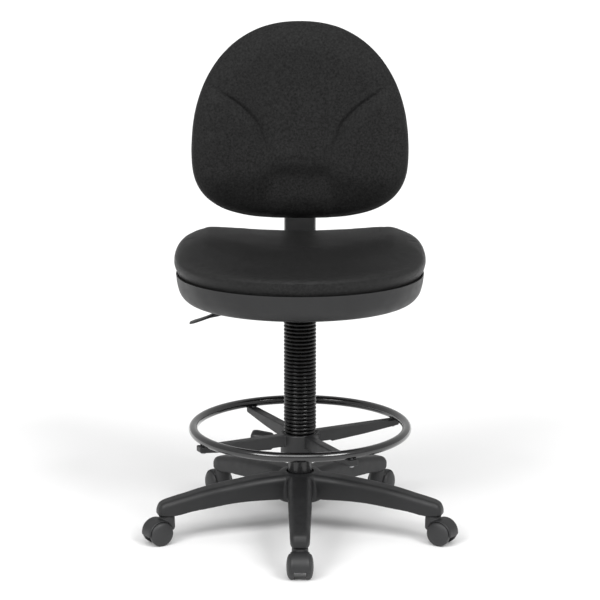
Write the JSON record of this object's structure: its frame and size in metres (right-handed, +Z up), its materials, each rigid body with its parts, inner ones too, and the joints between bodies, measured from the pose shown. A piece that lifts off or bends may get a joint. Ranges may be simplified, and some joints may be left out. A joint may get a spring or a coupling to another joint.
{
  "type": "drafting chair",
  "caption": "Armless drafting chair with a padded seat and rounded back, ribbed gas column, foot ring and five-arm base on twin-wheel casters.",
  "frame": {"origin": "on the floor under the column's axis", "axes": "+Z up along the column, -Y towards the sitter's front, +X to the sitter's left"},
  "size_m": [0.6502, 0.6734, 1.041],
  "materials": {
    "black_nylon": "satin",
    "moulded_plastic": "satin",
    "gloss_black_plastic": "gloss",
    "black_tube_steel": "gloss",
    "black_steel": "satin",
    "bright_steel": "satin",
    "bush_acetal": "satin",
    "plywood": "matte",
    "black_fabric": "matte"
  },
  "bodies": {
    "base": {"base_star": "black_nylon", "gas_outer_tube": "black_tube_steel", "column_sleeve": "gloss_black_plastic", "guide_bush": "bush_acetal", "thrust_bearing": "bright_steel", "caster_1_stem": "bright_steel", "caster_2_stem": "bright_steel", "caster_3_stem": "bright_steel", "caster_4_stem": "bright_steel", "caster_5_stem": "bright_steel"},
    "caster_1": {"caster_1_hood": "black_nylon", "caster_1_axle": "bright_steel"},
    "caster_1_wheel_left": {"caster_1_wheel_left": "black_nylon"},
    "caster_1_wheel_right": {"caster_1_wheel_right": "black_nylon"},
    "caster_2": {"caster_2_hood": "black_nylon", "caster_2_axle": "bright_steel"},
    "caster_2_wheel_left": {"caster_2_wheel_left": "black_nylon"},
    "caster_2_wheel_right": {"caster_2_wheel_right": "black_nylon"},
    "caster_3": {"caster_3_hood": "black_nylon", "caster_3_axle": "bright_steel"},
    "caster_3_wheel_left": {"caster_3_wheel_left": "black_nylon"},
    "caster_3_wheel_right": {"caster_3_wheel_right": "black_nylon"},
    "caster_4": {"caster_4_hood": "black_nylon", "caster_4_axle": "bright_steel"},
    "caster_4_wheel_left": {"caster_4_wheel_left": "black_nylon"},
    "caster_4_wheel_right": {"caster_4_wheel_right": "black_nylon"},
    "caster_5": {"caster_5_hood": "black_nylon", "caster_5_axle": "bright_steel"},
    "caster_5_wheel_left": {"caster_5_wheel_left": "black_nylon"},
    "caster_5_wheel_right": {"caster_5_wheel_right": "black_nylon"},
    "footring_slider": {"footring_bush": "moulded_plastic"},
    "footring": {"footring_hub": "moulded_plastic", "footring_tube": "black_tube_steel", "footring_bolt_1": "bright_steel", "footring_bolt_2": "bright_steel", "footring_bolt_3": "bright_steel", "footring_bolt_4": "bright_steel"},
    "footring_knob": {"footring_knob": "moulded_plastic"},
    "lift_rod": {"piston_rod": "bright_steel", "retaining_clip": "bright_steel"},
    "seat": {"gas_cylinder": "black_tube_steel", "seat_mechanism": "black_steel", "seat_board": "plywood", "seat_shell": "moulded_plastic", "seat_cushion": "black_fabric", "seat_bolt_1": "bright_steel", "seat_bolt_2": "bright_steel", "seat_bolt_3": "bright_steel", "seat_bolt_4": "bright_steel"},
    "height_lever": {"lever_rod": "bright_steel", "lever_handle": "moulded_plastic"},
    "release_pin": {"release_pin": "bright_steel"},
    "back_post": {"j_bar": "black_steel", "j_bar_cover": "moulded_plastic"},
    "back_depth_knob": {"back_depth_knob": "moulded_plastic"},
    "back": {"back_bracket": "black_steel", "back_board": "plywood", "back_shell": "moulded_plastic", "back_cushion": "black_fabric"},
    "back_height_knob": {"back_height_knob": "moulded_plastic"}
  },
  "joints": [
    {"name": "caster_1_swivel", "type": "hinge", "parent": "base", "child": "caster_1", "pos_m": [0, -0.287, 0.05], "axis": [0, 0, 1], "continuous": true},
    {"name": "caster_1_wheel_left_spin", "type": "hinge", "parent": "caster_1", "child": "caster_1_wheel_left", "pos_m": [0, -0.308, 0.025], "axis": [1, 0, 0], "continuous": true},
    {"name": "caster_1_wheel_right_spin", "type": "hinge", "parent": "caster_1", "child": "caster_1_wheel_right", "pos_m": [0, -0.308, 0.025], "axis": [1, 0, 0], "continuous": true},
    {"name": "caster_2_swivel", "type": "hinge", "parent": "base", "child": "caster_2", "pos_m": [0.27295, -0.08869, 0.05], "axis": [0, 0, 1], "continuous": true},
    {"name": "caster_2_wheel_left_spin", "type": "hinge", "parent": "caster_2", "child": "caster_2_wheel_left", "pos_m": [0.29076, -0.09982, 0.025], "axis": [0.5299, 0.848, 0], "continuous": true},
    {"name": "caster_2_wheel_right_spin", "type": "hinge", "parent": "caster_2", "child": "caster_2_wheel_right", "pos_m": [0.29076, -0.09982, 0.025], "axis": [0.5299, 0.848, 0], "continuous": true},
    {"name": "caster_3_swivel", "type": "hinge", "parent": "base", "child": "caster_3", "pos_m": [0.16869, 0.23219, 0.05], "axis": [0, 0, 1], "continuous": true},
    {"name": "caster_3_wheel_left_spin", "type": "hinge", "parent": "caster_3", "child": "caster_3_wheel_left", "pos_m": [0.17919, 0.25037, 0.025], "axis": [-0.866, 0.5, 0], "continuous": true},
    {"name": "caster_3_wheel_right_spin", "type": "hinge", "parent": "caster_3", "child": "caster_3_wheel_right", "pos_m": [0.17919, 0.25037, 0.025], "axis": [-0.866, 0.5, 0], "continuous": true},
    {"name": "caster_4_swivel", "type": "hinge", "parent": "base", "child": "caster_4", "pos_m": [-0.16869, 0.23219, 0.05], "axis": [0, 0, 1], "continuous": true},
    {"name": "caster_4_wheel_left_spin", "type": "hinge", "parent": "caster_4", "child": "caster_4_wheel_left", "pos_m": [-0.17919, 0.25037, 0.025], "axis": [-0.866, -0.5, 0], "continuous": true},
    {"name": "caster_4_wheel_right_spin", "type": "hinge", "parent": "caster_4", "child": "caster_4_wheel_right", "pos_m": [-0.17919, 0.25037, 0.025], "axis": [-0.866, -0.5, 0], "continuous": true},
    {"name": "caster_5_swivel", "type": "hinge", "parent": "base", "child": "caster_5", "pos_m": [-0.27295, -0.08869, 0.05], "axis": [0, 0, 1], "continuous": true},
    {"name": "caster_5_wheel_left_spin", "type": "hinge", "parent": "caster_5", "child": "caster_5_wheel_left", "pos_m": [-0.29076, -0.09982, 0.025], "axis": [0.5299, -0.848, 0], "continuous": true},
    {"name": "caster_5_wheel_right_spin", "type": "hinge", "parent": "caster_5", "child": "caster_5_wheel_right", "pos_m": [-0.29076, -0.09982, 0.025], "axis": [0.5299, -0.848, 0], "continuous": true},
    {"name": "footring_height", "type": "slide", "parent": "base", "child": "footring_slider", "axis": [0, 0, 1], "range_m": [0, 0.15]},
    {"name": "footring_turn", "type": "hinge", "parent": "footring_slider", "child": "footring", "pos_m": [0, 0, 0.185], "axis": [0, 0, 1], "continuous": true},
    {"name": "footring_knob_turn", "type": "hinge", "parent": "footring", "child": "footring_knob", "pos_m": [-0.07608, 0.02472, 0.188], "axis": [-0.9511, 0.309, 0], "range_deg": [0, 720]},
    {"name": "seat_swivel", "type": "hinge", "parent": "base", "child": "lift_rod", "pos_m": [0, 0, 0.05], "axis": [0, 0, 1], "continuous": true},
    {"name": "seat_height", "type": "slide", "parent": "lift_rod", "child": "seat", "axis": [0, 0, 1], "range_m": [0, 0.2]},
    {"name": "height_lever_lift", "type": "hinge", "parent": "seat", "child": "height_lever", "pos_m": [-0.034, 0, 0.5055], "axis": [0, 1, 0], "range_deg": [0, 5], "stiffness_Nm_per_rad": 0.3, "springref_deg": -5.73},
    {"name": "release_pin_press", "type": "slide", "parent": "seat", "child": "release_pin", "axis": [0, 0, 1], "range_m": [-0.0032, 0]},
    {"name": "back_depth", "type": "slide", "parent": "seat", "child": "back_post", "axis": [0, 1, 0], "range_m": [0, 0.05]},
    {"name": "back_depth_knob_turn", "type": "hinge", "parent": "seat", "child": "back_depth_knob", "pos_m": [0, 0.125, 0.45], "axis": [0, 0, 1], "range_deg": [0, 720]},
    {"name": "back_height", "type": "slide", "parent": "back_post", "child": "back", "axis": [0, 0, 1], "range_m": [0, 0.06]},
    {"name": "back_height_knob_turn", "type": "hinge", "parent": "back", "child": "back_height_knob", "pos_m": [0, 0.32, 0.78], "axis": [0, 1, 0], "range_deg": [0, 720]}
  ],
  "couplings": [
    {"joint": "release_pin_press", "follows": "height_lever_lift", "m_per_rad": -0.034}
  ]
}
